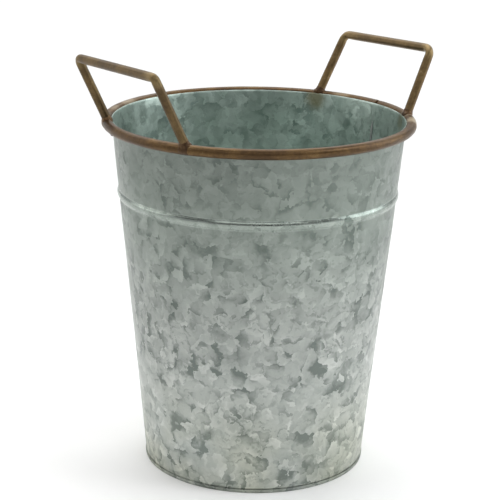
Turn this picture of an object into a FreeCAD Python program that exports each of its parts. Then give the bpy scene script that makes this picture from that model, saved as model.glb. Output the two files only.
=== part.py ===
import FreeCAD, Part
import math
import os

from FreeCAD import Vector, Matrix, Placement, Rotation

# Florist bucket: a tapered galvanised-sheet bucket, a round steel ring outside
# its top edge, and two bent-rod handles welded on the ring.
# Millimetres.  +Z up, origin at the centre of the foot on the floor plane,
# handles on +X (right) and -X (left).  +Y is the rear side.

# ---------------------------------------------------------------- dimensions
SHEET_T = 0.5            # galvanised sheet thickness
RING_R = 102.6           # rim ring, centreline radius
RING_ROD_R = 3.5         # rim ring, rod radius (7 mm rod)
RING_Z = 239.0           # rim ring, centreline height
RING_GAP = 1.3           # butt joint of the ring, width of the gap
FOOT_R = 76.15           # wall, outer radius at the floor plane

BEAD_Z = 190.6           # swaged bead, height of its centre
BEAD_A = 3.35            # half width
BEAD_H = 1.2             # how far it stands out
BEAD_RF = 1.0            # blend radius at its edges

LIP_WRAP_DEG = 24.0      # how far the wall's edge is dressed up over the ring
SEAM_AZ = -2.6           # azimuth of the folded side seam, degrees
SEAM_W = 6.0             # width of the folded seam
SEAM_H = 1.5             # it stands out by three more layers of sheet
SEAM_Z0, SEAM_Z1 = 3.0, 232.5

DISC_Z = 6.0             # top of the recessed bottom disc
PAN_BEND_R = 2.2         # outer bend radius from disc to flange
FOOT_LIP_H = 2.4         # height of the fold outside the wall's foot
FOOT_EDGE_R = 0.3        # rounding of the resting ring's edges

SEAL_TOP = 11.5          # inner base sealant, height it reaches on the wall
STRIP_W = 2.0            # side seam sealant width
STRIP_T = 0.6            # side seam sealant thickness
STRIP_Z1 = 228.0

ROD_R = 3.0              # handle rod radius (6 mm rod)
FOOT_UP = 2.6            # rod axis meets this height above the ring's centre
FOOT_RAD = 102.5         # radius on which the handle feet stand
BAR_HALF = 45.3          # half length of the grip bar, corner to corner
LEG_L = 47.0             # slant length of the legs at mid bar
# per handle: side, foot half angle, lean outward, bar tilt, sideways shift, bend radius
HANDLES = {
    "right": dict(side=1, az=-0.1, half=27.8, lean=29.0, tilt=-1.7, shift=1.5, bend=5.0),
    "left": dict(side=-1, az=0.1, half=26.4, lean=24.0, tilt=-0.7, shift=5.3, bend=4.4),
}
WELD_T, WELD_N, WELD_Z = 6.0, 4.3, 3.7   # weld blob half axes: along ring, across, up
TACK_R = 1.9
TACK_AZ = (27.8, -27.8, 159.8)

# ------------------------------------------------------------------- helpers
# the wall's outer line is tangent to the ring's rod: its slope is found by iteration
slope = (RING_R - RING_ROD_R - FOOT_R) / RING_Z
for _ in range(20):
    alpha = math.atan(slope)
    slope = (RING_R - RING_ROD_R / math.cos(alpha) - FOOT_R) / RING_Z
ca, sa = math.cos(alpha), math.sin(alpha)
D = (sa, ca)             # up along the wall, in (r, z)
N = (ca, -sa)            # outward normal of the wall


def outer(z):
    """Outer wall radius at height z."""
    return FOOT_R + slope * z


def on_wall(s, n):
    """Point at distance s along the wall from the floor plane, n out of the outer face."""
    return (FOOT_R + s * D[0] + n * N[0], s * D[1] + n * N[1])


def s_at_z(z, n=0.0):
    return (z - n * N[1]) / D[1]


def v(p):
    return Vector(p[0], 0.0, p[1])


def line(a, b):
    return Part.LineSegment(v(a), v(b)).toShape()


def arc(a, m, b):
    return Part.Arc(v(a), v(m), v(b)).toShape()


def revolve(edges, angle=360.0):
    wire = Part.Wire(Part.__sortEdges__(edges))
    face = Part.Face(wire)
    return face.revolve(Vector(0, 0, 0), Vector(0, 0, 1), angle)


def largest(shape, count=1):
    s = sorted(shape.Solids, key=lambda q: -q.Volume)
    if count == 1:
        return s[0]
    return Part.makeCompound(s[:count])


def cyl(r, a, z):
    a = math.radians(a)
    return Vector(r * math.cos(a), r * math.sin(a), z)


# ---------------------------------------------------------------- wall sheet
phi = 2.0 * math.atan(BEAD_H / BEAD_A)
rc = BEAD_A / math.sin(phi) - BEAD_RF        # convex radius of the bead's crown
s_bead = s_at_z(BEAD_Z)


def bead_arcs(off):
    """Bead edges on a face at offset off from the wall's outer face, from bottom to top."""
    r_out = rc + off
    r_in = BEAD_RF - off
    zc = BEAD_H - rc                          # crown arc centre, in n
    pts = []
    for sgn in (-1, 1):
        cs, cn = sgn * BEAD_A, BEAD_RF        # blend arc centre
        start = on_wall(s_bead + cs, cn - r_in)
        mid = on_wall(s_bead + cs - sgn * r_in * math.sin(phi / 2), cn - r_in * math.cos(phi / 2))
        end = on_wall(s_bead + cs - sgn * r_in * math.sin(phi), cn - r_in * math.cos(phi))
        pts.append((start, mid, end))
    top = on_wall(s_bead, zc + r_out)
    (a0, a1, a2), (b0, b1, b2) = pts
    return a0, [arc(a0, a1, a2), arc(a2, top, b2), arc(b2, b1, b0)], b0


def ring_pt(rad, deg_up):
    """Point round the ring's rod, deg_up above its innermost line."""
    t = math.radians(deg_up)
    return (RING_R - rad * math.cos(t), RING_Z + rad * math.sin(t))


z_foot = SHEET_T
al = math.degrees(alpha)
o_b0, o_edges, o_b1 = bead_arcs(0.0)
i_b0, i_edges, i_b1 = bead_arcs(-SHEET_T)
o_foot = on_wall(s_at_z(z_foot), 0.0)
i_foot = on_wall(s_at_z(z_foot, -SHEET_T), -SHEET_T)
o_tan = ring_pt(RING_ROD_R, al)
i_tan = ring_pt(RING_ROD_R + SHEET_T, al)
o_end = ring_pt(RING_ROD_R, LIP_WRAP_DEG)
i_end = ring_pt(RING_ROD_R + SHEET_T, LIP_WRAP_DEG)
mid_deg = (al + LIP_WRAP_DEG) / 2
edges = [line(o_foot, o_b0)] + o_edges + [
    line(o_b1, o_tan),
    arc(o_tan, ring_pt(RING_ROD_R, mid_deg), o_end),
    line(o_end, i_end),
    arc(i_end, ring_pt(RING_ROD_R + SHEET_T, mid_deg), i_tan),
    line(i_tan, i_b1)] + i_edges + [
    line(i_b0, i_foot),
    line(i_foot, o_foot)]
wall = revolve(edges)

# folded side seam: the layers of the lock stand out as one flat ridge
s0, s1 = s_at_z(SEAM_Z0), s_at_z(SEAM_Z1)
strip = revolve([line(on_wall(s0, -SHEET_T / 2), on_wall(s1, -SHEET_T / 2)),
                 line(on_wall(s1, -SHEET_T / 2), on_wall(s1 - 1.0, SEAM_H)),
                 line(on_wall(s1 - 1.0, SEAM_H), on_wall(s0, SEAM_H)),
                 line(on_wall(s0, SEAM_H), on_wall(s0, -SHEET_T / 2))])
slab = Part.makeBox(60, SEAM_W, 260, Vector(60, -SEAM_W / 2, -5))
slab.rotate(Vector(0, 0, 0), Vector(0, 0, 1), SEAM_AZ)
# the bead's hollow stays open behind the seam
ridge = strip.common(slab)
hollow = revolve(i_edges + [line(i_b0, on_wall(s_bead - BEAD_A, -3)),
                            line(on_wall(s_bead - BEAD_A, -3), on_wall(s_bead + BEAD_A, -3)),
                            line(on_wall(s_bead + BEAD_A, -3), i_b1)])
wall = largest(wall.fuse(ridge.cut(hollow)).removeSplitter())

# ------------------------------------------------------------------ base pan
n1 = -SHEET_T            # flange lies against the wall's inner face
n2 = -2 * SHEET_T
n3 = SHEET_T


def at(z, n):
    return on_wall(s_at_z(z, n), n)


fo_top = at(DISC_Z, n1)
half = (math.pi / 2 + alpha) / 2             # half the turn from disc to flange
tan_len = PAN_BEND_R * math.tan(half)
c_out = (fo_top[0] - tan_len, DISC_Z)        # disc flat ends here
cc = (c_out[0], DISC_Z - PAN_BEND_R)
r_in = PAN_BEND_R - SHEET_T


def about(c, r, a):
    """Point at angle a past straight up, round centre c."""
    return (c[0] + r * math.sin(a), c[1] + r * math.cos(a))


m_out = about(cc, PAN_BEND_R, half)
e_out = about(cc, PAN_BEND_R, 2 * half)
c_in = (cc[0], DISC_Z - SHEET_T)
m_in = about(cc, r_in, half)
e_in = about(cc, r_in, 2 * half)
g_in = at(0.0, n2)                            # inner edge of the resting ring
g_out = at(0.0, n3)
er = FOOT_EDGE_R
k_in = (g_in[0] + er, 0.0)
k_out = (g_out[0] - er, 0.0)
h_in = at(er, n2)
h_out = at(er, n3)
q = 0.293 * er
pan_edges = [
    line((0.0, DISC_Z), c_out), arc(c_out, m_out, e_out),
    line(e_out, at(z_foot, n1)), line(at(z_foot, n1), at(z_foot, 0.0)),
    line(at(z_foot, 0.0), at(FOOT_LIP_H, 0.0)),
    line(at(FOOT_LIP_H, 0.0), at(FOOT_LIP_H, n3)),
    line(at(FOOT_LIP_H, n3), h_out), arc(h_out, (g_out[0] - q, q), k_out),
    line(k_out, k_in), arc(k_in, (g_in[0] + q, q), h_in),
    line(h_in, e_in), arc(e_in, m_in, c_in),
    line(c_in, (0.0, DISC_Z - SHEET_T)), line((0.0, DISC_Z - SHEET_T), (0.0, DISC_Z))]
pan = revolve(pan_edges)

# ------------------------------------------------------------------ rim ring
gap_deg = math.degrees(RING_GAP / RING_R)
ring_face = Part.Face(Part.Wire([Part.makeCircle(RING_ROD_R, Vector(RING_R, 0, RING_Z), Vector(0, 1, 0))]))
ring_face.rotate(Vector(0, 0, 0), Vector(0, 0, 1), SEAM_AZ + gap_deg / 2)
ring = ring_face.revolve(Vector(0, 0, 0), Vector(0, 0, 1), 360.0 - gap_deg)
ring_full = Part.makeTorus(RING_R, RING_ROD_R, Vector(0, 0, RING_Z), Vector(0, 0, 1))

# ------------------------------------------------------------------- handles


def handle_points(h):
    """Feet and corners of the rod's centreline: rear foot, rear corner, front corner, front foot."""
    ph = math.radians(h["az"] + (0.0 if h["side"] > 0 else 180.0))
    u = Vector(math.cos(ph), math.sin(ph), 0)
    t = Vector(-math.sin(ph), math.cos(ph), 0) * h["side"]
    a = math.radians(h["half"])
    z0 = Vector(0, 0, RING_Z + FOOT_UP)
    f1 = u * (FOOT_RAD * math.cos(a)) + t * (FOOT_RAD * math.sin(a)) + z0
    f2 = u * (FOOT_RAD * math.cos(a)) - t * (FOOT_RAD * math.sin(a)) + z0
    o = (f1 + f2) * 0.5
    le, ti = math.radians(h["lean"]), math.radians(h["tilt"])
    w = u * math.sin(le) + Vector(0, 0, math.cos(le))
    e1 = t * math.cos(ti) + w * math.sin(ti)
    c1 = o + t * h["shift"] + e1 * BAR_HALF + w * LEG_L
    c2 = o + t * h["shift"] - e1 * BAR_HALF + w * LEG_L
    return f1, c1, c2, f2


def corner(p, c, n, r):
    """Bend of centreline radius r at corner c between p and n: start, middle, end."""
    a = (p - c).normalize()
    b = (n - c).normalize()
    ang = a.getAngle(b)
    d = r / math.tan(ang / 2)
    bis = (a + b).normalize()
    cen = c + bis * (r / math.sin(ang / 2))
    return c + a * d, cen - bis * r, c + b * d


def rod(h):
    f1, c1, c2, f2 = handle_points(h)
    a1, a2, a3 = corner(f1, c1, c2, h["bend"])
    b1, b2, b3 = corner(c1, c2, f2, h["bend"])
    path = Part.Wire([
        Part.LineSegment(f1, a1).toShape(), Part.Arc(a1, a2, a3).toShape(),
        Part.LineSegment(a3, b1).toShape(), Part.Arc(b1, b2, b3).toShape(),
        Part.LineSegment(b3, f2).toShape()])
    prof = Part.Wire([Part.makeCircle(ROD_R, f1, a1 - f1)])
    return path.makePipeShell([prof], True, True)


handles, welds = {}, {}
for name, h in HANDLES.items():
    # each rod end is coped to sit on the ring
    body = largest(rod(h).cut(ring_full))
    handles[name] = body
    f1, c1, c2, f2 = handle_points(h)
    for tag, f in (("rear", f1), ("front", f2)):
        az = math.degrees(math.atan2(f.y, f.x))
        m = Matrix()
        m.scale(Vector(WELD_N, WELD_T, WELD_Z))
        blob = Part.makeSphere(1.0).transformGeometry(m)
        blob.rotate(Vector(0, 0, 0), Vector(0, 0, 1), az)
        blob.translate(Vector(f.x, f.y, RING_Z + 2.7))
        blob = blob.cut(ring_full).cut(body).cut(wall)
        welds["weld_%s_%s" % (name, tag)] = largest(blob)

# --------------------------------------------------------- tacks and sealant
tacks = []
for az in TACK_AZ:
    z = RING_Z - 4.3
    ball = Part.makeSphere(TACK_R, cyl(outer(z) + 1.1, az, z))
    tacks.append(largest(ball.cut(ring_full).cut(wall)))
tack_group = Part.makeCompound(tacks)

seal_in = (c_out[0], DISC_Z)
seal_up = at(SEAL_TOP, n1)
mid = ((seal_in[0] + seal_up[0]) / 2 + 0.34, (seal_in[1] + seal_up[1]) / 2 - 0.18)
# it fills the groove between the pan's bend and the wall, down to where the groove closes
deep = math.radians(66)
seal_low = about(cc, PAN_BEND_R, deep)
seal = revolve([arc(seal_in, mid, seal_up), line(seal_up, at(seal_low[1], n1)),
                line(at(seal_low[1], n1), seal_low),
                arc(seal_low, about(cc, PAN_BEND_R, deep / 2), seal_in)])

t0, t1 = s_at_z(SEAL_TOP + 0.3), s_at_z(STRIP_Z1)
band = revolve([line(on_wall(t0, -SHEET_T - STRIP_T), on_wall(t0 + 0.2, 3)),
                line(on_wall(t0 + 0.2, 3), on_wall(t1, 3)),
                line(on_wall(t1, 3), on_wall(t1, -SHEET_T - STRIP_T)),
                line(on_wall(t1, -SHEET_T - STRIP_T), on_wall(t0, -SHEET_T - STRIP_T))])
slot = Part.makeBox(60, STRIP_W, 260, Vector(60, -STRIP_W / 2, -5))
slot.rotate(Vector(0, 0, 0), Vector(0, 0, 1), SEAM_AZ)
pieces = band.common(slot).cut(wall).Solids
inside = [p for p in pieces if math.hypot(p.CenterOfMass.x, p.CenterOfMass.y)
          < outer(p.CenterOfMass.z) - SHEET_T * 0.6]
strip_seal = max(inside, key=lambda p: p.Volume)

# -------------------------------------------------------------------- export
nodes = {
    "wall_sheet": wall,
    "base_pan": pan,
    "rim_ring": ring,
    "handle_right": handles["right"],
    "handle_left": handles["left"],
    "rim_tack_welds": tack_group,
    "base_sealant": seal,
    "side_seam_sealant": strip_seal,
}
nodes.update(welds)

os.makedirs("parts", exist_ok=True)
for name, shape in sorted(nodes.items()):
    if not shape.isValid():
        print("INVALID", name)
    print("%-20s solids %d volume %.1f mm3" % (name, len(shape.Solids), shape.Volume))
    shape.exportStep("parts/%s.step" % name)
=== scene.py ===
import math

import bpy
import numpy as np
from mathutils import Matrix, Vector, noise


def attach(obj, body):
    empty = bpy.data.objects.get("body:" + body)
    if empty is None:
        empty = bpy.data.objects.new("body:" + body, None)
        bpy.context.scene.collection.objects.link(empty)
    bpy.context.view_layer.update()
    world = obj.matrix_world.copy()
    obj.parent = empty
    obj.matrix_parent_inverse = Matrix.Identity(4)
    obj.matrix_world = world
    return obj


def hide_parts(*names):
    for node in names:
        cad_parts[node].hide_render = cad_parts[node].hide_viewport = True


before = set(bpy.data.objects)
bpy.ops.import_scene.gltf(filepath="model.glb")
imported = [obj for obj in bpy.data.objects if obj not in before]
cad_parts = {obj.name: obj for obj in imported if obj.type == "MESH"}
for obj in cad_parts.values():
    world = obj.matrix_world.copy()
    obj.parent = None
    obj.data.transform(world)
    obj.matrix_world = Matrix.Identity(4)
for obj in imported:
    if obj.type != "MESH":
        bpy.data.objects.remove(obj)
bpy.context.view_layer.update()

scene = bpy.context.scene
MM = 0.001

# ------------------------------------------------------------------ dimensions (mm)
SHEET_T = 0.5
RING_R, RING_ROD_R, RING_Z, RING_GAP = 102.6, 3.5, 239.0, 1.3
FOOT_R = 76.15
BEAD_Z, BEAD_A, BEAD_H, BEAD_RF = 190.6, 3.35, 1.2, 1.0
LIP_WRAP_DEG = 24.0
SEAM_AZ, SEAM_W, SEAM_H, SEAM_Z0, SEAM_Z1 = -2.6, 6.0, 1.5, 3.0, 232.5
DISC_Z, PAN_BEND_R, FOOT_LIP_H = 6.0, 2.2, 2.4
SEAL_TOP, STRIP_W, STRIP_T, STRIP_Z1 = 11.5, 2.0, 0.6, 228.0
ROD_R, FOOT_UP, FOOT_RAD, BAR_HALF, LEG_L = 3.0, 2.6, 102.5, 45.3, 47.0
HANDLES = {
    "right": dict(side=1, az=-0.1, half=27.8, lean=29.0, tilt=-1.7, shift=1.5, bends=(5.0, 6.2)),
    "left": dict(side=-1, az=0.1, half=26.4, lean=24.0, tilt=-0.7, shift=5.3, bends=(3.8, 2.5)),
}
TACK_AZ = (27.8, -27.8, 159.8)

slope = (RING_R - RING_ROD_R - FOOT_R) / RING_Z
for _ in range(20):
    alpha = math.atan(slope)
    slope = (RING_R - RING_ROD_R / math.cos(alpha) - FOOT_R) / RING_Z
CA, SA = math.cos(alpha), math.sin(alpha)


def on_wall(s, n):
    return np.array([FOOT_R + s * SA + n * CA, s * CA - n * SA])


def s_at_z(z, n=0.0):
    return (z + n * SA) / CA


def outer(z):
    return FOOT_R + slope * z


def smooth(a, b, x):
    t = np.clip((np.asarray(x, float) - a) / (b - a), 0.0, 1.0)
    return t * t * (3 - 2 * t)


# ------------------------------------------------------------------ mesh helpers
def make_mesh(name, verts, faces, mats, mat_index=None, smooth_shade=True):
    me = bpy.data.meshes.new(name)
    me.from_pydata([tuple(v) for v in verts], [], faces)
    me.update()
    for m in mats:
        me.materials.append(m)
    me.polygons.foreach_set("use_smooth", [smooth_shade] * len(me.polygons))
    if mat_index is not None:
        me.polygons.foreach_set("material_index", mat_index)
    ob = bpy.data.objects.new(name, me)
    scene.collection.objects.link(ob)
    return ob


def grid_faces(nu, nv, close_u, close_v, off=0):
    """Quads over a grid of nu by nv points, u outer."""
    out = []
    for i in range(nu if close_u else nu - 1):
        i2 = (i + 1) % nu
        for j in range(nv if close_v else nv - 1):
            j2 = (j + 1) % nv
            out.append((off + i * nv + j, off + i2 * nv + j, off + i2 * nv + j2, off + i * nv + j2))
    return out


def n3(x, y, z, scale, seed=0.0):
    return noise.noise(Vector((x * scale + seed * 7.13, y * scale - seed * 3.7, z * scale + seed * 1.9)))


# ------------------------------------------------------------------ shader helpers
class Nodes:
    def __init__(self, name):
        self.mat = bpy.data.materials.new(name)
        self.mat.use_nodes = True
        self.t = self.mat.node_tree
        self.t.nodes.clear()
        self.out = self.t.nodes.new("ShaderNodeOutputMaterial")
        self.bsdf = self.t.nodes.new("ShaderNodeBsdfPrincipled")
        self.t.links.new(self.bsdf.outputs[0], self.out.inputs[0])

    def node(self, kind, **kw):
        n = self.t.nodes.new(kind)
        for k, v in kw.items():
            setattr(n, k, v)
        return n

    def set(self, sock, value):
        if isinstance(value, bpy.types.NodeSocket):
            self.t.links.new(value, sock)
        else:
            sock.default_value = value

    def math(self, op, a, b=0.0, c=0.0, clamp=False):
        n = self.node("ShaderNodeMath", operation=op, use_clamp=clamp)
        for i, v in enumerate((a, b, c)):
            self.set(n.inputs[i], v)
        return n.outputs[0]

    def vmath(self, op, a, b=None, scale=None):
        n = self.node("ShaderNodeVectorMath", operation=op)
        self.set(n.inputs[0], a)
        if b is not None:
            self.set(n.inputs[1], b)
        if scale is not None:
            self.set(n.inputs["Scale"], scale)
        return n.outputs["Value"] if op in ("DOT_PRODUCT", "LENGTH", "DISTANCE") else n.outputs["Vector"]

    def noise(self, vec, scale, detail=3.0, rough=0.5, dist=0.0):
        n = self.node("ShaderNodeTexNoise")
        self.set(n.inputs["Vector"], vec)
        n.inputs["Scale"].default_value = scale
        n.inputs["Detail"].default_value = detail
        n.inputs["Roughness"].default_value = rough
        n.inputs["Distortion"].default_value = dist
        return n.outputs["Fac"], n.outputs["Color"]

    def step(self, x, a, b):
        """Smooth step from 0 at a to 1 at b."""
        n = self.node("ShaderNodeMapRange", interpolation_type="SMOOTHSTEP")
        self.set(n.inputs["Value"], x)
        n.inputs["From Min"].default_value = a
        n.inputs["From Max"].default_value = b
        return n.outputs["Result"]

    def lin(self, x, a, b, c, d):
        n = self.node("ShaderNodeMapRange", interpolation_type="LINEAR")
        self.set(n.inputs["Value"], x)
        for k, v in zip(("From Min", "From Max", "To Min", "To Max"), (a, b, c, d)):
            n.inputs[k].default_value = v
        return n.outputs["Result"]

    def mix(self, fac, a, b):
        n = self.node("ShaderNodeMix", data_type="RGBA", blend_type="MIX")
        self.set(n.inputs[0], fac)
        self.set(n.inputs[6], a if isinstance(a, bpy.types.NodeSocket) else (*a, 1.0))
        self.set(n.inputs[7], b if isinstance(b, bpy.types.NodeSocket) else (*b, 1.0))
        return n.outputs[2]

    def mul(self, fac, a, b):
        n = self.node("ShaderNodeMix", data_type="RGBA", blend_type="MULTIPLY")
        self.set(n.inputs[0], fac)
        self.set(n.inputs[6], a if isinstance(a, bpy.types.NodeSocket) else (*a, 1.0))
        self.set(n.inputs[7], b if isinstance(b, bpy.types.NodeSocket) else (*b, 1.0))
        return n.outputs[2]

    def coords(self):
        return self.node("ShaderNodeTexCoord").outputs["Object"]

    def xyz(self, v):
        n = self.node("ShaderNodeSeparateXYZ")
        self.set(n.inputs[0], v)
        return n.outputs

    def bump(self, height, strength, dist, normal=None):
        n = self.node("ShaderNodeBump")
        n.inputs["Strength"].default_value = strength
        n.inputs["Distance"].default_value = dist
        self.set(n.inputs["Height"], height)
        if normal is not None:
            self.set(n.inputs["Normal"], normal)
        return n.outputs[0]


def crystal(nd, p, size, seed):
    """One layer of zinc crystals about size metres across: (gradient over each grain, random grain value, random grain direction)."""
    v = nd.node("ShaderNodeTexVoronoi", voronoi_dimensions="3D", feature="F1")
    q = nd.vmath("ADD", p, (seed, seed * 0.7, -seed))
    nd.set(v.inputs["Vector"], q)
    v.inputs["Scale"].default_value = 1.0 / size
    v.inputs["Randomness"].default_value = 1.0
    rnd = nd.vmath("SUBTRACT", v.outputs["Color"], (0.5, 0.5, 0.5))
    diff = nd.vmath("SUBTRACT", q, v.outputs["Position"])
    diff = nd.vmath("SCALE", diff, scale=1.0 / size)
    g = nd.vmath("DOT_PRODUCT", diff, rnd)
    val = nd.xyz(v.outputs["Color"])[0]
    return g, val, rnd


def galvanised(name, light, dark, tint_low, contrast=1.0, rough=0.40, low=1.0, high=1.0, bead_burnish_and_highlight=False, top=0.55, smudges=()):
    nd = Nodes(name)
    p = nd.coords()
    _, c1 = nd.noise(p, 62.0, 3.0, 0.6)
    _, c2 = nd.noise(p, 210.0, 3.0, 0.6)
    w1 = nd.vmath("SCALE", nd.vmath("SUBTRACT", c1, (0.5, 0.5, 0.5)), scale=0.016)
    w2 = nd.vmath("SCALE", nd.vmath("SUBTRACT", c2, (0.5, 0.5, 0.5)), scale=0.0065)
    pw = nd.vmath("ADD", nd.vmath("ADD", p, w1), w2)
    ga, va, ra = crystal(nd, pw, 0.0145, 0.31)
    gb, vb, rb = crystal(nd, pw, 0.0090, 1.17)
    gc, vc, rc_ = crystal(nd, pw, 0.0046, 2.39)
    z = nd.xyz(p)[2]
    # broad clouds, then grains shaded from one side to the other, then the torn dark
    # crescents where one grain runs under the next
    cloud, _ = nd.noise(p, 14.0, 3.0, 0.55)
    cluster, _ = nd.noise(nd.vmath("ADD", p, (0.4, 0.1, 0.2)), 27.0, 3.0, 0.55)
    grit, _ = nd.noise(p, 330.0, 3.0, 0.7)
    calm = nd.lin(z, 0.10, 0.205, 1.0, top)
    tone = nd.math("ADD", nd.math("MULTIPLY", nd.math("SUBTRACT", va, 0.5), 0.09),
                   nd.math("MULTIPLY", nd.math("SUBTRACT", vb, 0.5), 0.08))
    tone = nd.math("ADD", tone, nd.math("MULTIPLY", nd.math("SUBTRACT", vc, 0.5), 0.05))
    grain = nd.math("ADD", nd.math("MULTIPLY", ga, 0.85), nd.math("MULTIPLY", gb, 0.75))
    grain = nd.math("ADD", grain, nd.math("MULTIPLY", gc, 0.35))
    tone = nd.math("ADD", tone, nd.math("MULTIPLY", grain, 0.50))
    tone = nd.math("ADD", tone, nd.math("MULTIPLY", nd.math("SUBTRACT", grit, 0.5), 0.16))
    tone = nd.math("MULTIPLY", tone, calm)
    tone = nd.math("ADD", tone, nd.math("MULTIPLY", nd.math("SUBTRACT", cloud, 0.5), 0.50))
    cres = nd.math("MULTIPLY", nd.step(gb, -0.08, -0.34), nd.step(cluster, 0.40, 0.56))
    cres_a = nd.math("MULTIPLY", nd.step(ga, -0.12, -0.38), nd.step(cluster, 0.58, 0.44))
    cres_c = nd.math("MULTIPLY", nd.step(gc, -0.12, -0.32), nd.step(cloud, 0.40, 0.56))
    cres = nd.math("MAXIMUM", cres, nd.math("MULTIPLY", cres_a, 0.85))
    cres = nd.math("MAXIMUM", cres, nd.math("MULTIPLY", cres_c, 0.55))
    cres = nd.math("MULTIPLY", cres, nd.lin(z, 0.13, 0.22, 1.0, top))
    edge = nd.math("MAXIMUM", nd.step(gb, 0.08, 0.34), nd.math("MULTIPLY", nd.step(ga, 0.10, 0.38), 0.8))
    edge = nd.math("MULTIPLY", edge, nd.lin(z, 0.10, 0.21, 0.16, 0.15 * top))
    fac = nd.math("ADD", nd.math("MULTIPLY", tone, 0.95 * contrast), 0.60)
    fac = nd.math("ADD", fac, edge)
    fac = nd.math("SUBTRACT", fac, nd.math("MULTIPLY", cres, 0.50 * contrast), clamp=True)
    col = nd.mix(fac, dark, light)
    # painted reflection: the colour is scaled from low at the foot to high near the top; on the outer wall it is
    # lighter below for the bright floor's reflection and darker above for the dark room's reflection
    if low != high:
        painted_reflection_scale = nd.lin(nd.math("ADD", z, nd.math("MULTIPLY", nd.math("SUBTRACT", cloud, 0.5), 0.06)), 0.02, 0.225, low, high)
        col = nd.vmath("SCALE", col, scale=painted_reflection_scale)
    # a faint warm film low down, a cool one high up
    film = nd.math("MULTIPLY", nd.step(z, 0.085, 0.0), nd.step(cloud, 0.30, 0.60))
    col = nd.mul(nd.math("MULTIPLY", film, 0.9), col, tint_low)
    col = nd.mul(nd.step(z, 0.10, 0.21), col, (0.93, 1.0, 0.955))
    for (mx, my, mz, rad, amount) in smudges:
        # overspray of brown lacquer beside a weld
        d = nd.vmath("DISTANCE", p, (mx * MM, my * MM, mz * MM))
        d = nd.math("ADD", d, nd.math("MULTIPLY", nd.math("SUBTRACT", grit, 0.5), 0.006))
        col = nd.mix(nd.math("MULTIPLY", nd.step(d, rad * MM, rad * MM * 0.25), amount), col, (0.20, 0.175, 0.075))
    if bead_burnish_and_highlight:
        # painted highlight: along the bead the base colour is made 30% lighter, standing in for the bright line the
        # overhead light draws on it; the same mask lowers roughness and grain tilt for the burnish
        bead_highlight_burnish = nd.step(nd.math("ABSOLUTE", nd.math("SUBTRACT", z, BEAD_Z * MM)), 0.0042, 0.0028)
        col = nd.vmath("SCALE", col, scale=nd.math("ADD", 1.0, nd.math("MULTIPLY", bead_highlight_burnish, 0.30)))
    nd.set(nd.bsdf.inputs["Base Color"], col)
    nd.bsdf.inputs["Metallic"].default_value = 0.90
    rr = nd.math("SUBTRACT", rough, nd.math("MULTIPLY", grain, 0.12))
    rr = nd.math("ADD", rr, nd.math("MULTIPLY", cres, -0.08))
    rr = nd.math("ADD", rr, nd.math("MULTIPLY", nd.math("SUBTRACT", grit, 0.5), 0.10))
    if bead_burnish_and_highlight:
        # the rolled bead is burnished by its tool
        rr = nd.math("SUBTRACT", rr, nd.math("MULTIPLY", bead_highlight_burnish, 0.12))
    nd.set(nd.bsdf.inputs["Roughness"], rr)
    # each grain is a slightly tilted facet
    geo = nd.node("ShaderNodeNewGeometry")
    k = 1.0
    tilt = nd.vmath("ADD", nd.vmath("SCALE", ra, scale=0.085), nd.vmath("SCALE", rb, scale=0.085))
    tilt = nd.vmath("ADD", tilt, nd.vmath("SCALE", rc_, scale=0.05))
    if bead_burnish_and_highlight:
        tilt = nd.vmath("SCALE", tilt, scale=nd.math("SUBTRACT", 1.0, nd.math("MULTIPLY", bead_highlight_burnish, 0.75)))
    nrm = nd.vmath("NORMALIZE", nd.vmath("ADD", geo.outputs["Normal"], tilt))
    fine, _ = nd.noise(p, 900.0, 3.0, 0.6)
    waves, _ = nd.noise(p, 22.0, 2.0, 0.5)
    h = nd.math("ADD", nd.math("MULTIPLY", fine, 0.10), nd.math("MULTIPLY", waves, 1.0))
    h = nd.math("ADD", h, nd.math("MULTIPLY", cres, -0.12))
    nd.set(nd.bsdf.inputs["Normal"], nd.bump(h, 0.30, 0.0010, nrm))
    return nd.mat


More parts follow.
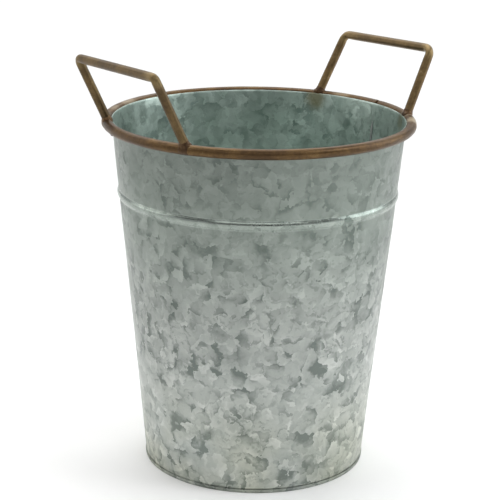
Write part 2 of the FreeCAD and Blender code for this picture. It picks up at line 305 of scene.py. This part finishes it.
def brown_paint(name, base, tan, deep, marks=(), axis_scale=(1.0, 1.0, 1.0), seed=0.0, spot_col=None):
    """Antique brown lacquer on steel rod, with drawn streaks, olive cast and lighter spots at marks (mm)."""
    nd = Nodes(name)
    p = nd.coords()
    streak_v = nd.vmath("MULTIPLY", p, axis_scale)
    cloud, _ = nd.noise(nd.vmath("ADD", p, (seed, -seed, seed * 0.5)), 38.0, 4.0, 0.6)
    fine, _ = nd.noise(p, 420.0, 3.0, 0.65)
    streak, _ = nd.noise(streak_v, 60.0, 3.0, 0.6)
    f = nd.math("ADD", nd.math("MULTIPLY", cloud, 0.9), nd.math("MULTIPLY", streak, 0.5))
    f = nd.math("ADD", f, nd.math("MULTIPLY", nd.math("SUBTRACT", fine, 0.5), 0.5))
    col = nd.mix(nd.step(f, 0.45, 1.05), deep, base)
    col = nd.mix(nd.math("MULTIPLY", nd.step(f, 0.80, 1.12), 0.75), col, tan)
    chips = nd.math("MULTIPLY", nd.step(fine, 0.64, 0.70), nd.step(cloud, 0.50, 0.62))
    col = nd.mix(nd.math("MULTIPLY", chips, 0.45), col, (0.34, 0.28, 0.20))
    for (mx, my, mz, rad, amount) in marks:
        d = nd.vmath("DISTANCE", p, (mx * MM, my * MM, mz * MM))
        m = nd.math("MULTIPLY", nd.step(nd.math("ADD", d, nd.math("MULTIPLY", nd.math("SUBTRACT", fine, 0.5), rad * MM)), rad * MM, rad * MM * 0.35), amount)
        col = nd.mix(m, col, spot_col or tan)
    nd.set(nd.bsdf.inputs["Base Color"], col)
    nd.bsdf.inputs["Metallic"].default_value = 0.68
    nd.set(nd.bsdf.inputs["Roughness"], nd.lin(nd.math("ADD", cloud, nd.math("MULTIPLY", fine, 0.4)), 0.4, 1.0, 0.30, 0.50))
    nd.bsdf.inputs["Coat Weight"].default_value = 0.03
    nd.bsdf.inputs["Coat Roughness"].default_value = 0.28
    h = nd.math("ADD", nd.math("MULTIPLY", cloud, 0.8), nd.math("MULTIPLY", fine, 0.25))
    nd.set(nd.bsdf.inputs["Normal"], nd.bump(nd.math("ADD", h, nd.math("MULTIPLY", streak, 0.4)), 0.45, 0.0006))
    return nd.mat


def sealant_mat(name):
    nd = Nodes(name)
    p = nd.coords()
    cloud, _ = nd.noise(p, 60.0, 4.0, 0.6)
    fine, _ = nd.noise(p, 500.0, 2.0, 0.5)
    nd.set(nd.bsdf.inputs["Base Color"], nd.mix(nd.step(cloud, 0.35, 0.70), (0.20, 0.22, 0.21), (0.36, 0.39, 0.37)))
    nd.set(nd.bsdf.inputs["Roughness"], nd.lin(cloud, 0.3, 0.7, 0.45, 0.65))
    nd.set(nd.bsdf.inputs["Normal"], nd.bump(nd.math("ADD", cloud, nd.math("MULTIPLY", fine, 0.3)), 0.4, 0.0004))
    return nd.mat


def on_ring(az, r, z, rad, amount):
    a = math.radians(az)
    return (r * math.cos(a), r * math.sin(a), z, rad, amount)


SMUDGES = [on_ring(28.5, 97.5, 237.0, 11.0, 0.75), on_ring(-27.0, 97.5, 236.0, 9.0, 0.60),
           on_ring(206.0, 97.5, 237.0, 7.0, 0.50), on_ring(153.0, 97.5, 237.0, 8.0, 0.55)]
# the outer zinc's 1.42 at the foot and 0.66 near the top are painted reflection: lighter below, darker above
M_OUT = galvanised("zinc_outside", (0.455, 0.475, 0.452), (0.142, 0.163, 0.150), (0.97, 0.95, 0.85), 0.95, 0.37, 1.42, 0.66, True)
# painted light: the inside face of the same sheet gets lighter base colours than the outside, standing in for light
# falling inside the bucket; its teal tint is the zinc's own
M_IN = galvanised("zinc_inside", (0.61, 0.670, 0.642), (0.30, 0.352, 0.332), (0.95, 0.95, 0.88), 0.95, 0.42, top=1.0, smudges=SMUDGES)
M_PAN = galvanised("zinc_base", (0.50, 0.53, 0.505), (0.19, 0.215, 0.20), (0.96, 0.95, 0.84), 0.9, 0.42)
BROWN = ((0.155, 0.089, 0.031), (0.235, 0.160, 0.072), (0.062, 0.033, 0.012))
OLIVE = ((0.168, 0.110, 0.043), (0.250, 0.180, 0.080), (0.066, 0.041, 0.016))



# lighter tan patches on the ring at these points
LIGHT_SPOTS = [on_ring(-40.0, 105.6, 240.6, 11.0, 0.80), on_ring(-28.0, 104.0, 242.0, 10.0, 0.50),
          on_ring(118.0, 101.5, 242.0, 12.0, 0.32), on_ring(131.0, 103.0, 242.0, 9.0, 0.30),
          on_ring(17.0, 100.5, 241.5, 9.0, 0.25)]
M_RING = brown_paint("brown_ring", *BROWN, marks=LIGHT_SPOTS, axis_scale=(1.0, 1.0, 6.0), seed=0.3, spot_col=(0.50, 0.42, 0.29))
M_SEAL = sealant_mat("grey_sealant")

# ------------------------------------------------------------------ wall sheet
phi = 2.0 * math.atan(BEAD_H / BEAD_A)
rc = BEAD_A / math.sin(phi) - BEAD_RF
s_bead = s_at_z(BEAD_Z)


def bead(s):
    """Height of the bead over the outer face at distance s along the wall."""
    d = abs(s - s_bead)
    x0 = rc * math.sin(phi)
    if d >= BEAD_A:
        return 0.0
    if d <= x0:
        return BEAD_H - rc + math.sqrt(rc * rc - d * d)
    return BEAD_RF - math.sqrt(max(BEAD_RF ** 2 - (BEAD_A - d) ** 2, 0.0))


s_top = s_at_z(RING_Z + RING_ROD_R * SA, 0.0)      # where the wall meets the ring's rod
s_foot = s_at_z(SHEET_T)
rows = list(np.linspace(s_foot, s_bead - BEAD_A, 54)[:-1])
rows += list(np.linspace(s_bead - BEAD_A, s_bead + BEAD_A, 29)[:-1])
rows += list(np.linspace(s_bead + BEAD_A, s_top, 17))
lip_deg = np.linspace(math.degrees(alpha), LIP_WRAP_DEG, 6)[1:]

az_list = set(np.round(np.arange(0, 360, 0.9), 4).tolist())
for d in np.concatenate([np.arange(-4.4, 4.41, 0.22)]):
    az_list.add(round((SEAM_AZ + math.degrees(d / 90.0)) % 360.0, 4))
az_list = sorted(az_list)


def seam_y(az, r):
    """Signed distance round the wall from the side seam's middle."""
    d = (az - SEAM_AZ + 180.0) % 360.0 - 180.0
    return math.radians(d) * r


def wobble(az, s):
    """Slow hand-made unevenness of the sheet, none at the foot, the bead and the ring."""
    a = math.radians(az)
    f = float(smooth(0, 35, s)) * float(smooth(s_top, s_top - 30, s))
    x, y = math.cos(a), math.sin(a)
    w = 0.42 * noise.noise(Vector((x * 1.3 + 2.0, y * 1.3, s * 0.009)))
    w += 0.16 * noise.noise(Vector((x * 3.6, y * 3.6 + 5.0, s * 0.03)))
    return f * w * (1.0 - 0.7 * math.exp(-((s - s_bead) / 9.0) ** 2))


def ridge(y, s):
    """Outer relief of the folded side seam."""
    end = float(smooth(s_at_z(SEAM_Z0) - 0.2, s_at_z(SEAM_Z0) + 1.6, s)) * float(smooth(s_at_z(SEAM_Z1) + 0.8, s_at_z(SEAM_Z1) - 2.2, s))
    e = SEAM_W / 2
    w = float(smooth(e + 0.12, e - 0.55, y)) * float(smooth(-e - 0.12, -e + 0.30, y))
    # the folded-over layer: a low step a third of the way across
    w *= 0.80 + 0.20 * float(smooth(-0.9, -0.55, y))
    return SEAM_H * w * end


def inner_relief(y, s):
    """Inside, the fold shows as two shallow grooves and a slightly sunk strip between them."""
    end = float(smooth(s_at_z(6.0), s_at_z(9.0), s)) * float(smooth(s_top - 2.0, s_top - 5.0, s))
    g = -0.36 * math.exp(-((abs(y) - 2.6) / 0.26) ** 2) - 0.10 * float(smooth(3.0, 2.5, abs(y)))
    return -g * end


verts, loop_n = [], None
for az in az_list:
    a = math.radians(az)
    c, sn = math.cos(a), math.sin(a)
    prof = []
    for s in rows:
        r0 = FOOT_R + s * SA
        y = seam_y(az, r0)
        b = bead(s)
        rg = ridge(y, s) if abs(y) < 5 else 0.0
        nn = rg + b * (1.0 - 0.55 * min(rg / SEAM_H, 1.0)) if rg > 0 else b
        prof.append(on_wall(s, nn + wobble(az, s)))
    for d in lip_deg:
        t = math.radians(d)
        prof.append(np.array([RING_R - (RING_ROD_R + 0.02) * math.cos(t), RING_Z + (RING_ROD_R + 0.02) * math.sin(t)]))
    edge = RING_ROD_R + SHEET_T / 2
    t = math.radians(LIP_WRAP_DEG + 2.6 + 1.2 * noise.noise(Vector((c * 4, sn * 4, 0.3))))
    prof.append(np.array([RING_R - edge * math.cos(t), RING_Z + edge * math.sin(t)]))
    for d in lip_deg[::-1]:
        t = math.radians(d)
        rr = RING_ROD_R + SHEET_T
        prof.append(np.array([RING_R - rr * math.cos(t), RING_Z + rr * math.sin(t)]))
    for s in rows[::-1]:
        r0 = FOOT_R + s * SA
        y = seam_y(az, r0)
        b = bead(s)
        inr = inner_relief(y, s) if abs(y) < 5 else 0.0
        prof.append(on_wall(s, b - SHEET_T + inr + wobble(az, s)))
    loop_n = len(prof)
    for r, z in prof:
        verts.append((r * c * MM, r * sn * MM, z * MM))
faces = grid_faces(len(az_list), loop_n, True, True)
n_out = len(rows) + len(lip_deg)
idx = []
for i in range(len(az_list)):
    for j in range(loop_n):
        idx.append(0 if j < n_out else 1)
wall = make_mesh("wall_sheet_skin", verts, faces, [M_OUT, M_IN], idx)
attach(wall, "root")
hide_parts("wall_sheet")

# ------------------------------------------------------------------ base pan


def at(z, n):
    return on_wall(s_at_z(z, n), n)


def arc_pts(c, r, a0, a1, k):
    """Points round c from angle a0 to a1, measured from straight up towards +r."""
    return [np.array([c[0] + r * math.sin(a), c[1] + r * math.cos(a)]) for a in np.linspace(a0, a1, k)]


n1, n2 = -SHEET_T, -2 * SHEET_T
top = at(DISC_Z, n1)
half = (math.pi / 2 + alpha) / 2
c_out = (top[0] - PAN_BEND_R * math.tan(half), DISC_Z)
cc = (c_out[0], DISC_Z - PAN_BEND_R)
pan = [np.array([r, DISC_Z]) for r in np.linspace(0.0, c_out[0], 26)[1:-1]]
pan += arc_pts(cc, PAN_BEND_R, 0.0, 2 * half, 9)
pan += [at(1.6, n1), at(SHEET_T + 0.05, n1), at(SHEET_T, n1 + 0.05), at(SHEET_T, -0.05), at(SHEET_T + 0.05, 0.02)]
pan += [at(1.6, 0.03), at(FOOT_LIP_H - 0.15, 0.13), at(FOOT_LIP_H - 0.02, 0.20), at(FOOT_LIP_H + 0.0, 0.34),
        at(FOOT_LIP_H - 0.10, 0.46), at(FOOT_LIP_H - 0.32, 0.52), at(1.2, 0.52), at(0.45, 0.49)]
pan += [at(0.22, 0.42), at(0.06, 0.26), at(0.0, 0.10), at(0.0, -0.35), at(0.0, -0.75), at(0.06, -0.90), at(0.25, n2)]
pan += [at(1.6, n2)]
pan += arc_pts(cc, PAN_BEND_R - SHEET_T, 2 * half, 0.0, 8)
pan += [np.array([r, DISC_Z - SHEET_T]) for r in np.linspace(c_out[0], 0.0, 26)[1:-1]]
NA = 360
pv = []
for i in range(NA):
    a = 2 * math.pi * i / NA
    for r, z in pan:
        dz = 0.0
        if r < c_out[0] - 0.5:
            fade = float(smooth(c_out[0], c_out[0] - 9, r))
            dz = -0.30 * fade * abs(noise.noise(Vector((r * math.cos(a) * 0.02, r * math.sin(a) * 0.02, 1.0))))
            # one shallow pressed circle that stiffens the disc
            dz -= 0.55 * math.exp(-((r - 52.0) / 1.9) ** 2)
        pv.append((r * math.cos(a) * MM, r * math.sin(a) * MM, (z + dz) * MM))
L = len(pan)
pf = []
for i in range(NA):
    i2 = (i + 1) % NA
    for j in range(L - 1):
        pf.append((i * L + j, i * L + j + 1, i2 * L + j + 1, i2 * L + j))
ct, cb = len(pv), len(pv) + 1
pv += [(0.0, 0.0, (DISC_Z - 0.05) * MM), (0.0, 0.0, (DISC_Z - SHEET_T - 0.05) * MM)]
for i in range(NA):
    i2 = (i + 1) % NA
    pf.append((ct, i * L, i2 * L))
    pf.append((cb, i2 * L + L - 1, i * L + L - 1))
pan_ob = make_mesh("base_pan_skin", pv, pf, [M_PAN])
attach(pan_ob, "root")
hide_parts("base_pan")

# ------------------------------------------------------------------ rim ring
half_gap = math.degrees(RING_GAP / RING_R) / 2
NR, NS = 720, 36
ang = list(np.linspace(half_gap, 360.0 - half_gap, NR))
end = [0.0, 0.15, 0.4, 0.8]                 # mm from each end, rounded arris
shrink = [0.80, 0.90, 0.965, 1.0]
ring_rows = []
for d, k in zip(end, shrink):
    ring_rows.append((half_gap + math.degrees(d / RING_R), k))
for a in ang:
    if half_gap + 0.6 < a < 360.0 - half_gap - 0.6:
        ring_rows.append((a, 1.0))
for d, k in zip(end[::-1], shrink[::-1]):
    ring_rows.append((360.0 - half_gap - math.degrees(d / RING_R), k))
rv = []
for a, k in ring_rows:
    az = math.radians(a + SEAM_AZ)
    c, sn = math.cos(az), math.sin(az)
    for j in range(NS):
        t = 2 * math.pi * j / NS
        e = 0.05 + 0.05 * noise.noise(Vector((c * 9, sn * 9, t))) + 0.03 * noise.noise(Vector((c * 40, sn * 40, math.cos(t))))
        rr = (RING_ROD_R - max(e, 0.0)) * k
        r = RING_R + rr * math.cos(t)
        rv.append((r * c * MM, r * sn * MM, (RING_Z + rr * math.sin(t)) * MM))
rf = grid_faces(len(ring_rows), NS, False, True)
c0, c1 = len(rv), len(rv) + 1
for a, _ in (ring_rows[0], ring_rows[-1]):
    az = math.radians(a + SEAM_AZ)
    rv.append((RING_R * math.cos(az) * MM, RING_R * math.sin(az) * MM, RING_Z * MM))
base = (len(ring_rows) - 1) * NS
for j in range(NS):
    j2 = (j + 1) % NS
    rf.append((c0, j, j2))
    rf.append((c1, base + j2, base + j))
ring = make_mesh("rim_ring_rod", rv, rf, [M_RING])
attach(ring, "root")
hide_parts("rim_ring")

# ------------------------------------------------------------------ handles


def handle_points(h):
    ph = math.radians(h["az"] + (0.0 if h["side"] > 0 else 180.0))
    u = Vector((math.cos(ph), math.sin(ph), 0))
    t = Vector((-math.sin(ph), math.cos(ph), 0)) * h["side"]
    a = math.radians(h["half"])
    z0 = Vector((0, 0, RING_Z + FOOT_UP))
    f1 = u * (FOOT_RAD * math.cos(a)) + t * (FOOT_RAD * math.sin(a)) + z0
    f2 = u * (FOOT_RAD * math.cos(a)) - t * (FOOT_RAD * math.sin(a)) + z0
    o = (f1 + f2) * 0.5
    le, ti = math.radians(h["lean"]), math.radians(h["tilt"])
    w = u * math.sin(le) + Vector((0, 0, math.cos(le)))
    e1 = t * math.cos(ti) + w * math.sin(ti)
    c1 = o + t * h["shift"] + e1 * BAR_HALF + w * LEG_L
    c2 = o + t * h["shift"] - e1 * BAR_HALF + w * LEG_L
    return f1, c1, c2, f2


def handle_path(h):
    """Points, and for each its nearness to a bend (0 to 1) and the direction of the bend's inside."""
    f1, c1, c2, f2 = handle_points(h)
    pts = []

    def run(a, b, k):
        for t in np.linspace(0, 1, k)[:-1]:
            pts.append((a.lerp(b, t), 0.0, Vector((0, 0, 0))))

    def bend(p, c, n, r):
        a, b = (p - c).normalized(), (n - c).normalized()
        ang_ = a.angle(b)
        d = r / math.tan(ang_ / 2)
        bis = (a + b).normalized()
        cen = c + bis * (r / math.sin(ang_ / 2))
        s, e = c + a * d, c + b * d
        out = []
        v0, v1 = s - cen, e - cen
        tot = v0.angle(v1)
        ax = v0.cross(v1).normalized()
        for t in np.linspace(0, 1, 15):
            q = cen + Matrix.Rotation(tot * t, 3, ax) @ v0
            out.append((q, math.sin(math.pi * t), (cen - q).normalized()))
        return s, e, out

    s1, e1, b1 = bend(f1, c1, c2, h["bends"][0])
    s2, e2, b2 = bend(c1, c2, f2, h["bends"][1])
    start = f1 + (f1 - s1).normalized() * 0.9
    stop = f2 + (f2 - e2).normalized() * 0.9
    run(start, s1, 34)
    pts += b1[:-1]
    run(e1, s2, 62)
    pts += b2[:-1]
    run(e2, stop, 34)
    pts.append((stop, 0.0, Vector((0, 0, 0))))
    return pts


def make_handle(name, h, mat, seed):
    pts = handle_path(h)
    f1, c1, c2, f2 = handle_points(h)
    nrm = (c1 - f1).cross(c2 - c1).normalized()      # normal of the handle's plane
    vs = []
    NSH = 28
    for i, (q, b, inward) in enumerate(pts):
        p0 = pts[max(i - 1, 0)][0]
        p1 = pts[min(i + 1, len(pts) - 1)][0]
        tan = (p1 - p0).normalized()
        side = nrm
        up = tan.cross(side).normalized()
        # the bend's influence reaches a little way into the straights
        infl, inw = 0.0, Vector((0, 0, 0))
        for k in range(max(i - 4, 0), min(i + 5, len(pts))):
            wgt = pts[k][1] * math.exp(-((q - pts[k][0]).length / 2.4) ** 2)
            if wgt > infl:
                infl, inw = wgt, pts[k][2]
        for j in range(NSH):
            t = 2 * math.pi * j / NSH
            dirv = side * math.cos(t) + up * math.sin(t)
            r = ROD_R - 0.006
            r -= 0.04 * abs(noise.noise(Vector((q.x * 0.12 + seed, q.y * 0.12, q.z * 0.12 + 2 * math.cos(t)))))
            if infl > 0:
                k = dirv.dot(inw)
                # bending over a pin flattens the outside and pinches the inside
                r -= infl * (0.12 * max(-k, 0.0) ** 2 + 0.60 * max(k, 0.0) ** 1.5)
                r -= infl * 0.18 * math.exp(-((k + 0.55) / 0.22) ** 2)
            vs.append(tuple((q + dirv * r) * MM))
    n = len(pts)
    fs = grid_faces(n, NSH, False, True)
    a, b = len(vs), len(vs) + 1
    vs.append(tuple(pts[0][0] * MM))
    vs.append(tuple(pts[-1][0] * MM))
    for j in range(NSH):
        j2 = (j + 1) % NSH
        fs.append((a, j, j2))
        fs.append((b, (n - 1) * NSH + j2, (n - 1) * NSH + j))
    # normals outward
    ob = make_mesh(name, vs, fs, [mat])
    me = ob.data
    import bmesh
    bm = bmesh.new()
    bm.from_mesh(me)
    bmesh.ops.recalc_face_normals(bm, faces=bm.faces)
    bm.to_mesh(me)
    bm.free()
    return ob


def blob(name, centre, axes, rot, stubs, mat, seed, lumps=0.22, voxel=0.34):
    """A weld: lumpy metal over a rod foot and the ring.  stubs are (start, end, radius) rods that it wets."""
    import bmesh
    bm = bmesh.new()
    m = Matrix.Translation(centre) @ rot.to_4x4() @ Matrix.Diagonal((*axes, 1.0))
    bmesh.ops.create_icosphere(bm, subdivisions=4, radius=1.0, matrix=m)
    for s, e, r0, r1 in stubs:
        d = e - s
        q = Vector((0, 0, 1)).rotation_difference(d.normalized()).to_matrix().to_4x4()
        mm = Matrix.Translation((s + e) / 2) @ q
        bmesh.ops.create_cone(bm, cap_ends=True, segments=28, radius1=r0, radius2=r1, depth=d.length, matrix=mm)
    for v in bm.verts:
        v.co *= 1.0
    me = bpy.data.meshes.new(name)
    bm.to_mesh(me)
    bm.free()
    ob = bpy.data.objects.new(name, me)
    scene.collection.objects.link(ob)
    rm = ob.modifiers.new("r", "REMESH")
    rm.mode = "VOXEL"
    rm.voxel_size = voxel
    sm = ob.modifiers.new("s", "SMOOTH")
    sm.factor = 0.5
    sm.iterations = 6
    dg = bpy.context.evaluated_depsgraph_get()
    new = bpy.data.meshes.new_from_object(ob.evaluated_get(dg))
    ob.modifiers.clear()
    ob.data = new
    co = np.zeros(len(new.vertices) * 3)
    new.vertices.foreach_get("co", co)
    co = co.reshape(-1, 3)
    nr = np.zeros(len(new.vertices) * 3)
    new.vertices.foreach_get("normal", nr)
    nr = nr.reshape(-1, 3)
    for i in range(len(co)):
        x, y, z = co[i]
        d = lumps * noise.noise(Vector((x * 0.55 + seed, y * 0.55, z * 0.55)))
        d += 0.10 * noise.noise(Vector((x * 1.6, y * 1.6 + seed, z * 1.6)))
        co[i] += nr[i] * d
    co *= MM
    new.vertices.foreach_set("co", co.ravel())
    new.materials.append(mat)
    new.polygons.foreach_set("use_smooth", [True] * len(new.polygons))
    new.update()
    return ob


for name, h in HANDLES.items():
    f1, c1, c2, f2 = handle_points(h)
    marks = [(c1.x, c1.y, c1.z, 9.0, 0.55), (c2.x, c2.y, c2.z, 10.0, 0.65)]
    u_az = math.degrees(math.atan2((c1 - c2).y, (c1 - c2).x))
    # painted light: the right handle's paint is made 1.22 times lighter than the left's, a lit copy of the same paint
    # for the side the brighter light falls on
    tone = [tuple(c * (1.22 if name == "right" else 1.0) for c in col) for col in OLIVE]
    mat = brown_paint("brown_handle_" + name, *tone, marks=marks, axis_scale=(1.0, 0.22, 1.0), seed=1.0 + h["side"])
    hd = make_handle("handle_%s_rod" % name, h, mat, 3.0 * h["side"])
    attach(hd, "root")
    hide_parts("handle_" + name)
    wmat = brown_paint("brown_weld_" + name, (0.170, 0.095, 0.036), (0.270, 0.175, 0.080), (0.050, 0.026, 0.011), axis_scale=(1.0, 1.0, 1.0), seed=2.0 + h["side"])
    for tag, f, c in (("rear", f1, c1), ("front", f2, c2)):
        az = math.atan2(f.y, f.x)
        up = (c - f).normalized()
        rot = Matrix.Rotation(az, 3, "Z")
        tng = Vector((-math.sin(az), math.cos(az), 0))
        ctr = Vector((f.x, f.y, RING_Z + 2.3))
        ringc = Vector((RING_R * math.cos(az), RING_R * math.sin(az), RING_Z))
        stubs = [(f - up * 0.5, f + up * 3.0, 3.45, 3.08),
                 (ringc - tng * 3.4, ringc + tng * 3.4, RING_ROD_R + 0.06, RING_ROD_R + 0.06)]
        w = blob("weld_%s_%s_bead" % (name, tag), ctr, (3.75, 4.7, 2.9), rot, stubs, wmat, az * 3.0)
        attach(w, "root")
        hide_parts("weld_%s_%s" % (name, tag))

# painted shade: the tack welds under the ring are painted near black, far darker than the other brown paint, standing
# in for the shade in the gap between ring and wall
tack_shade_mat = brown_paint("brown_tacks", (0.06, 0.042, 0.026), (0.11, 0.08, 0.05), (0.018, 0.012, 0.008), seed=5.0)
tack_obs = []
for i, az in enumerate(TACK_AZ):
    z = RING_Z - 4.5
    a = math.radians(az)
    ctr = Vector(((outer(z) + 1.9) * math.cos(a), (outer(z) + 1.9) * math.sin(a), z))
    ob = blob("tack%d" % i, ctr, (1.75, 2.3, 1.8), Matrix.Rotation(a, 3, "Z"), [], tack_shade_mat, 10.0 + i, 0.25, 0.28)
    tack_obs.append(ob)
with bpy.context.temp_override(active_object=tack_obs[0], selected_editable_objects=tack_obs, selected_objects=tack_obs):
    bpy.ops.object.join()
tack_obs[0].name = "rim_tack_beads"
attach(tack_obs[0], "root")
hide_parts("rim_tack_welds")

# ------------------------------------------------------------------ sealant
seal_in = np.array([c_out[0], DISC_Z])
seal_up = at(SEAL_TOP, n1)
NA = 420
sv = []
K = 9
for i in range(NA):
    a = 2 * math.pi * i / NA
    c, sn = math.cos(a), math.sin(a)
    w = noise.noise(Vector((c * 14, sn * 14, 0.7)))
    w2 = noise.noise(Vector((c * 45, sn * 45, 2.7)))
    p_in = seal_in + np.array([-0.10 - 0.9 * max(w, 0.0), -0.02])
    p_up = seal_up + np.array([SA, CA]) * (-0.6 + 0.9 * w - 0.3 * w2)
    mid = (p_in + p_up) / 2 + np.array([0.55, -0.55]) + 0.10 * w2
    prof = []
    for t in np.linspace(0, 1, K):
        prof.append((1 - t) ** 2 * p_in + 2 * t * (1 - t) * (2 * mid - (p_in + p_up) / 2) + t * t * p_up)
    prof.append(at(8.0, n1))
    prof += [at(4.6, n1)]
    prof += arc_pts(cc, PAN_BEND_R - 0.02, 2 * half, 0.0, 6)[1:-1]
    for r, z in prof:
        sv.append((r * c * MM, r * sn * MM, z * MM))
SL = K + 2 + 4
seal = make_mesh("base_sealant_fillet", sv, grid_faces(NA, SL, True, True), [M_SEAL])
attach(seal, "root")
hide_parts("base_sealant")

st_rows = np.linspace(s_at_z(SEAL_TOP + 0.3), s_at_z(STRIP_Z1), 150)
tv = []
KS = 10
sa = math.radians(SEAM_AZ)
er = Vector((math.cos(sa), math.sin(sa)))
et = Vector((-math.sin(sa), math.cos(sa)))
for i, s in enumerate(st_rows):
    endk = min(1.0, (i + 0.4) / 3.0, (len(st_rows) - 1 - i + 0.4) / 3.0)
    wv = STRIP_W / 2 * (0.86 + 0.22 * noise.noise(Vector((s * 0.16, 3.0, 1.0)))) * endk
    tk = STRIP_T * (0.9 + 0.3 * noise.noise(Vector((s * 0.22, 7.0, 1.0)))) * endk
    off = 0.22 * noise.noise(Vector((s * 0.05, 1.0, 9.0)))
    b = bead(s)
    for j in range(KS):
        t = math.pi * j / (KS - 1)
        yy = off + wv * math.cos(t)
        nn = -SHEET_T + b - tk * math.sin(t) + 0.04
        r, z = on_wall(s, nn)
        p = er * r + et * yy
        tv.append((p.x * MM, p.y * MM, z * MM))
    r, z = on_wall(s, -SHEET_T + b + 0.12)
    p = er * r + et * off
    tv.append((p.x * MM, p.y * MM, z * MM))
tf = grid_faces(len(st_rows), KS + 1, False, True)
m = KS + 1
tf.append(tuple(range(m))[::-1])
tf.append(tuple((len(st_rows) - 1) * m + j for j in range(m)))
strip = make_mesh("side_seam_sealant_bead", tv, tf, [M_SEAL])
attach(strip, "root")
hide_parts("side_seam_sealant")

# outward normals everywhere
import bmesh
for ob in (wall, pan_ob, ring, seal, strip):
    bm = bmesh.new()
    bm.from_mesh(ob.data)
    bmesh.ops.recalc_face_normals(bm, faces=bm.faces)
    bm.to_mesh(ob.data)
    bm.free()

# ------------------------------------------------------------------ floor, light, camera
CAM_AZ = math.radians(-37.1)          # the camera stands this far round from -Y


def turned(v):
    """A vector given with the camera straight in front (-Y), turned to where it stands."""
    return Matrix.Rotation(CAM_AZ, 3, "Z") @ Vector(v)


floor_nd = Nodes("floor_paper")
fp = floor_nd.coords()
fn, _ = floor_nd.noise(fp, 6.0, 2.0, 0.5)
floor_nd.set(floor_nd.bsdf.inputs["Base Color"], floor_nd.mix(fn, (0.86, 0.86, 0.855), (0.90, 0.90, 0.895)))
floor_nd.bsdf.inputs["Roughness"].default_value = 0.9
fl = make_mesh("floor", [(-6, -6, 0), (6, -6, 0), (6, 6, 0), (-6, 6, 0)], [(0, 1, 2, 3)], [floor_nd.mat])
fl.location.z = -0.00005


def area(name, loc, target, size, power, color=(1, 1, 1)):
    li = bpy.data.lights.new(name, "AREA")
    li.shape = "RECTANGLE"
    li.size, li.size_y = size
    li.energy = power
    li.color = color
    ob = bpy.data.objects.new(name, li)
    scene.collection.objects.link(ob)
    ob.location = turned(loc)
    d = turned(target) - ob.location
    ob.rotation_mode = "QUATERNION"
    ob.rotation_quaternion = d.to_track_quat("-Z", "Y")
    return ob


area("soft_left", (-1.35, 0.15, 0.75), (0, 0, 0.12), (1.1, 1.3), 5.0, (1.0, 0.99, 0.965))
area("soft_right", (1.35, 0.15, 0.75), (0, 0, 0.12), (1.1, 1.3), 11.5, (0.955, 0.985, 1.0))
area("back_floor", (0.0, 2.9, 2.6), (0, 2.9, 0.0), (6.0, 4.0), 172.0)
far = area("front_floor", (0.0, -3.4, 2.6), (0, -3.4, 0.0), (7.0, 3.4), 115.0)
far.data.spread = math.radians(60)
over = area("over_bucket", (0.0, 0.35, 1.6), (0, 0.30, 0.0), (1.2, 0.8), 0.8)
over.data.spread = math.radians(50)
area("front_high", (0.0, -1.20, 1.15), (0, 0, 0.2), (1.9, 0.66), 5.2)
for side, power in ((-1, 0.09), (1, 0.20)):
    low = area("low_%d" % side, (0.75 * side, -0.30, 0.95), (0.06 * side, -0.10, 0.0), (0.4, 0.4), power)
    low.data.spread = math.radians(35)

world = bpy.data.worlds.new("studio")
scene.world = world
world.use_nodes = True
wt = world.node_tree
wt.nodes.clear()
wo = wt.nodes.new("ShaderNodeOutputWorld")
bg = wt.nodes.new("ShaderNodeBackground")
tc = wt.nodes.new("ShaderNodeTexCoord")
dot = wt.nodes.new("ShaderNodeVectorMath")
dot.operation = "DOT_PRODUCT"
front = turned((0.0, -1.0, 0.0))
dot.inputs[1].default_value = tuple(front)
sep = wt.nodes.new("ShaderNodeSeparateXYZ")
wt.links.new(tc.outputs["Generated"], sep.inputs[0])
wt.links.new(tc.outputs["Generated"], dot.inputs[0])


def ramp(sock, a, b, c, d):
    """Smooth change from c to d as the socket goes from a to b."""
    n = wt.nodes.new("ShaderNodeMapRange")
    n.interpolation_type = "SMOOTHSTEP"
    for k, v in zip(("From Min", "From Max", "To Min", "To Max"), (a, b, c, d)):
        n.inputs[k].default_value = v
    wt.links.new(sock, n.inputs["Value"])
    return n.outputs["Result"]


# pale backdrop all round near the horizon, dimmer behind the camera, dark overhead
mul = wt.nodes.new("ShaderNodeMath")
mul.operation = "MULTIPLY"
wt.links.new(ramp(sep.outputs[2], 0.12, 0.42, 0.62, 0.04), mul.inputs[0])
wt.links.new(ramp(dot.outputs["Value"], 0.65, 0.97, 1.0, 0.15), mul.inputs[1])
wt.links.new(mul.outputs[0], bg.inputs["Strength"])
bg.inputs["Color"].default_value = (0.97, 0.985, 1.0, 1.0)
wt.links.new(bg.outputs[0], wo.inputs[0])

scene.view_settings.view_transform = "Standard"

cam_data = bpy.data.cameras.new("camera")
cam = bpy.data.objects.new("camera", cam_data)
scene.collection.objects.link(cam)
scene.camera = cam
UNIT = 0.1025
yaw, pitch, roll = -0.0043, 0.2865, 0.0158
cam.location = turned((0.0, -10.7331 * UNIT, 4.6015 * UNIT))
fw = Vector((math.sin(yaw) * math.cos(pitch), math.cos(yaw) * math.cos(pitch), -math.sin(pitch)))
rt = Vector((math.cos(yaw), -math.sin(yaw), 0.0))
up = rt.cross(fw)
rt2 = rt * math.cos(roll) + up * math.sin(roll)
up2 = up * math.cos(roll) - rt * math.sin(roll)
rot = Matrix((turned(rt2), turned(up2), turned(-fw))).transposed()
cam.rotation_mode = "QUATERNION"
cam.rotation_quaternion = rot.to_quaternion()
cam_data.sensor_fit = "HORIZONTAL"
cam_data.sensor_width = 36.0
cam_data.lens = 1660.6555 / 500.0 * 36.0
cam_data.clip_start, cam_data.clip_end = 0.05, 50.0
cam_data.dof.use_dof = False

bpy.context.view_layer.update()
